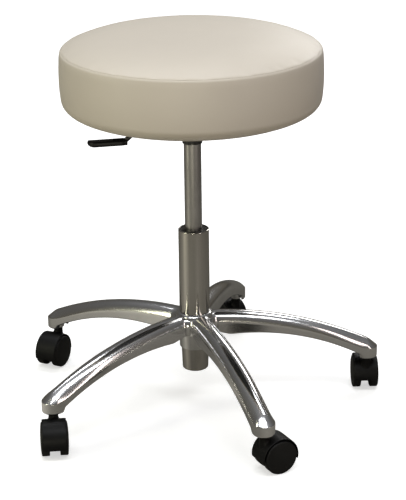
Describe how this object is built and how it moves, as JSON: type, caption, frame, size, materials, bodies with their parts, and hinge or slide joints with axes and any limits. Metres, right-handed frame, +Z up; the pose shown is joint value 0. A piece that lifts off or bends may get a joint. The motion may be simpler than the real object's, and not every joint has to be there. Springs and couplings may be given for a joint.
{
  "type": "dentist stool",
  "caption": "Round padded stool with a gas lift seat, a height lever under the cushion and a polished star base rolling on twin-wheel casters.",
  "frame": {"origin": "on the floor, on the axis of the gas lift column", "axes": "+Z up along the column; the height lever points along -X; +Y is away from the viewer of the reference view"},
  "size_m": [0.5882, 0.6165, 0.623],
  "materials": {
    "polished_aluminium": "polished",
    "chrome_column": "polished",
    "satin_steel": "satin",
    "bright_steel": "satin",
    "piston_metal": "satin",
    "black_steel": "satin",
    "black_rod": "satin",
    "bush_plastic": "satin",
    "handle_plastic": "satin",
    "hood_plastic": "satin",
    "wheel_plastic": "satin",
    "nylon": "satin",
    "rubber": "matte",
    "brass": "satin",
    "plywood": "matte",
    "foam": "matte",
    "vinyl": "satin",
    "dust_cloth": "matte"
  },
  "bodies": {
    "base": {"star_base": "polished_aluminium", "column_tube": "chrome_column", "guide_bush": "bush_plastic", "bearing_lower_race": "bright_steel", "bearing_balls": "bright_steel", "bearing_cage": "nylon", "stem_grip_rings": "bright_steel", "caster_1_stem": "bright_steel", "caster_2_stem": "bright_steel", "caster_3_stem": "bright_steel", "caster_4_stem": "bright_steel", "caster_5_stem": "bright_steel"},
    "rod": {"piston_rod": "bright_steel", "rod_clip": "bright_steel", "bearing_upper_race": "bright_steel", "rubber_buffer": "rubber", "piston": "piston_metal", "piston_seal": "rubber"},
    "seat": {"pressure_tube": "satin_steel", "rod_guide": "nylon", "rod_seal": "rubber", "valve_block": "brass", "taper_socket": "black_steel", "lever_housing": "black_steel", "lever_pivot_pin": "bright_steel", "seat_plate": "black_steel", "seat_bolts": "bright_steel", "seat_tee_nuts": "bright_steel", "seat_board": "plywood", "seat_foam": "foam", "seat_top_panel": "vinyl", "seat_side_band": "vinyl", "seat_dust_cover": "dust_cloth", "seat_staples": "bright_steel"},
    "lever": {"lever_rod": "black_rod", "lever_rocker": "nylon", "lever_handle": "handle_plastic"},
    "valve": {"valve_pin": "bright_steel"},
    "caster_1": {"caster_1_hood": "hood_plastic", "caster_1_axle": "bright_steel"},
    "wheel_1_left": {"caster_1_wheel_left": "wheel_plastic"},
    "wheel_1_right": {"caster_1_wheel_right": "wheel_plastic"},
    "caster_2": {"caster_2_hood": "hood_plastic", "caster_2_axle": "bright_steel"},
    "wheel_2_left": {"caster_2_wheel_left": "wheel_plastic"},
    "wheel_2_right": {"caster_2_wheel_right": "wheel_plastic"},
    "caster_3": {"caster_3_hood": "hood_plastic", "caster_3_axle": "bright_steel"},
    "wheel_3_left": {"caster_3_wheel_left": "wheel_plastic"},
    "wheel_3_right": {"caster_3_wheel_right": "wheel_plastic"},
    "caster_4": {"caster_4_hood": "hood_plastic", "caster_4_axle": "bright_steel"},
    "wheel_4_left": {"caster_4_wheel_left": "wheel_plastic"},
    "wheel_4_right": {"caster_4_wheel_right": "wheel_plastic"},
    "caster_5": {"caster_5_hood": "hood_plastic", "caster_5_axle": "bright_steel"},
    "wheel_5_left": {"caster_5_wheel_left": "wheel_plastic"},
    "wheel_5_right": {"caster_5_wheel_right": "wheel_plastic"}
  },
  "joints": [
    {"name": "seat_swivel", "type": "hinge", "parent": "base", "child": "rod", "pos_m": [0, 0, 0.064], "axis": [0, 0, 1], "continuous": true},
    {"name": "seat_height", "type": "slide", "parent": "rod", "child": "seat", "axis": [0, 0, 1], "range_m": [-0.13, 0]},
    {"name": "lever_pull", "type": "hinge", "parent": "seat", "child": "lever", "pos_m": [-0.022, 0, 0.477], "axis": [0, 1, 0], "range_deg": [0, 8], "stiffness_Nm_per_rad": 1, "springref_deg": -8.59},
    {"name": "valve_press", "type": "slide", "parent": "seat", "child": "valve", "axis": [0, 0, 1], "range_m": [-0.0036, 0]},
    {"name": "caster_1_swivel", "type": "hinge", "parent": "base", "child": "caster_1", "pos_m": [0.28657, 0.01577, 0.06], "axis": [0, 0, 1], "continuous": true},
    {"name": "wheel_1_left_roll", "type": "hinge", "parent": "caster_1", "child": "wheel_1_left", "pos_m": [0.28587, 0.03576, 0.027], "axis": [-0.9994, -0.0349, 0], "continuous": true},
    {"name": "wheel_1_right_roll", "type": "hinge", "parent": "caster_1", "child": "wheel_1_right", "pos_m": [0.28587, 0.03576, 0.027], "axis": [-0.9994, -0.0349, 0], "continuous": true},
    {"name": "caster_2_swivel", "type": "hinge", "parent": "base", "child": "caster_2", "pos_m": [0.07356, 0.27741, 0.06], "axis": [0, 0, 1], "continuous": true},
    {"name": "wheel_2_left_roll", "type": "hinge", "parent": "caster_2", "child": "wheel_2_left", "pos_m": [0.05941, 0.29156, 0.027], "axis": [-0.7071, -0.7071, 0], "continuous": true},
    {"name": "wheel_2_right_roll", "type": "hinge", "parent": "caster_2", "child": "wheel_2_right", "pos_m": [0.05941, 0.29156, 0.027], "axis": [-0.7071, -0.7071, 0], "continuous": true},
    {"name": "caster_3_swivel", "type": "hinge", "parent": "base", "child": "caster_3", "pos_m": [-0.24111, 0.15568, 0.06], "axis": [0, 0, 1], "continuous": true},
    {"name": "wheel_3_left_roll", "type": "hinge", "parent": "caster_3", "child": "wheel_3_left", "pos_m": [-0.24956, 0.13755, 0.027], "axis": [0.9063, -0.4226, 0], "continuous": true},
    {"name": "wheel_3_right_roll", "type": "hinge", "parent": "caster_3", "child": "wheel_3_right", "pos_m": [-0.24956, 0.13755, 0.027], "axis": [0.9063, -0.4226, 0], "continuous": true},
    {"name": "caster_4_swivel", "type": "hinge", "parent": "base", "child": "caster_4", "pos_m": [-0.22257, -0.1812, 0.06], "axis": [0, 0, 1], "continuous": true},
    {"name": "wheel_4_left_roll", "type": "hinge", "parent": "caster_4", "child": "wheel_4_left", "pos_m": [-0.22048, -0.20109, 0.027], "axis": [0.9945, 0.1045, 0], "continuous": true},
    {"name": "wheel_4_right_roll", "type": "hinge", "parent": "caster_4", "child": "wheel_4_right", "pos_m": [-0.22048, -0.20109, 0.027], "axis": [0.9945, 0.1045, 0], "continuous": true},
    {"name": "caster_5_swivel", "type": "hinge", "parent": "base", "child": "caster_5", "pos_m": [0.10355, -0.26767, 0.06], "axis": [0, 0, 1], "continuous": true},
    {"name": "wheel_5_left_roll", "type": "hinge", "parent": "caster_5", "child": "wheel_5_left", "pos_m": [0.12121, -0.25828, 0.027], "axis": [-0.4695, 0.8829, 0], "continuous": true},
    {"name": "wheel_5_right_roll", "type": "hinge", "parent": "caster_5", "child": "wheel_5_right", "pos_m": [0.12121, -0.25828, 0.027], "axis": [-0.4695, 0.8829, 0], "continuous": true}
  ],
  "couplings": [
    {"joint": "valve_press", "follows": "lever_pull", "m_per_rad": -0.0245}
  ]
}
